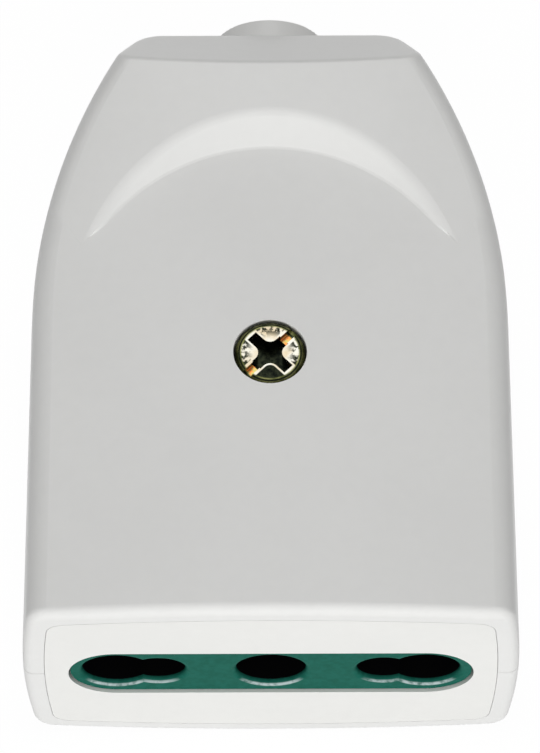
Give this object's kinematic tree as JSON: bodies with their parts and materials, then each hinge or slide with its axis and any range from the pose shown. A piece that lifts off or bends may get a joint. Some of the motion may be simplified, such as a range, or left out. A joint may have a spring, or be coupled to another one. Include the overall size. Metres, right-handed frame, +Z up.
{
  "type": "in-line power socket",
  "caption": "Rewireable in-line mains socket: tapered two-part white case, green pin guide with round-pin holes and a sprung safety shutter, cord entry at the narrow end.",
  "frame": {"origin": "centre of the mating face, on the earth pin's axis, where the shells' parting plane crosses it", "axes": "+Y from the mating face towards the cord entry, +Z up through the housing screw's head, +X to the right seen from the front"},
  "size_m": [0.0418, 0.0604, 0.0252],
  "materials": {
    "case": "white moulded thermoset, satin gloss",
    "face": "white moulded thermoset, satin gloss",
    "guide": "dark green moulded insulator, fine matt",
    "inner_plastic": "black moulded insulator, matt",
    "contact_brass": "stamped, bare",
    "spring_steel": "drawn wire, bare",
    "zinc_steel": "yellow-passivated zinc",
    "clamp_plastic": "white moulded insulator, matt"
  },
  "bodies": {
    "housing": {"upper_shell": "case", "lower_shell": "case", "face_plate": "face", "pin_guide": "guide", "shutter_spring_left": "spring_steel", "shutter_spring_right": "spring_steel", "contact_carrier": "inner_plastic", "line_contact": "contact_brass", "neutral_contact": "contact_brass", "earth_contact": "contact_brass", "line_terminal": "contact_brass", "neutral_terminal": "contact_brass", "earth_terminal": "contact_brass", "line_terminal_screw": "zinc_steel", "neutral_terminal_screw": "zinc_steel", "earth_terminal_screw": "zinc_steel", "cord_clamp": "clamp_plastic", "cord_clamp_screw_left": "zinc_steel", "cord_clamp_screw_right": "zinc_steel", "housing_screw": "zinc_steel", "housing_insert": "contact_brass"},
    "shutter": {"shutter": "inner_plastic"}
  },
  "joints": [
    {"name": "shutter_slide", "type": "slide", "parent": "housing", "child": "shutter", "axis": [0, 0, 1], "range_m": [0, 0.0057], "stiffness_N_per_m": 300, "springref_m": -0.004, "deforming": ["shutter_spring_left", "shutter_spring_right"]}
  ]
}
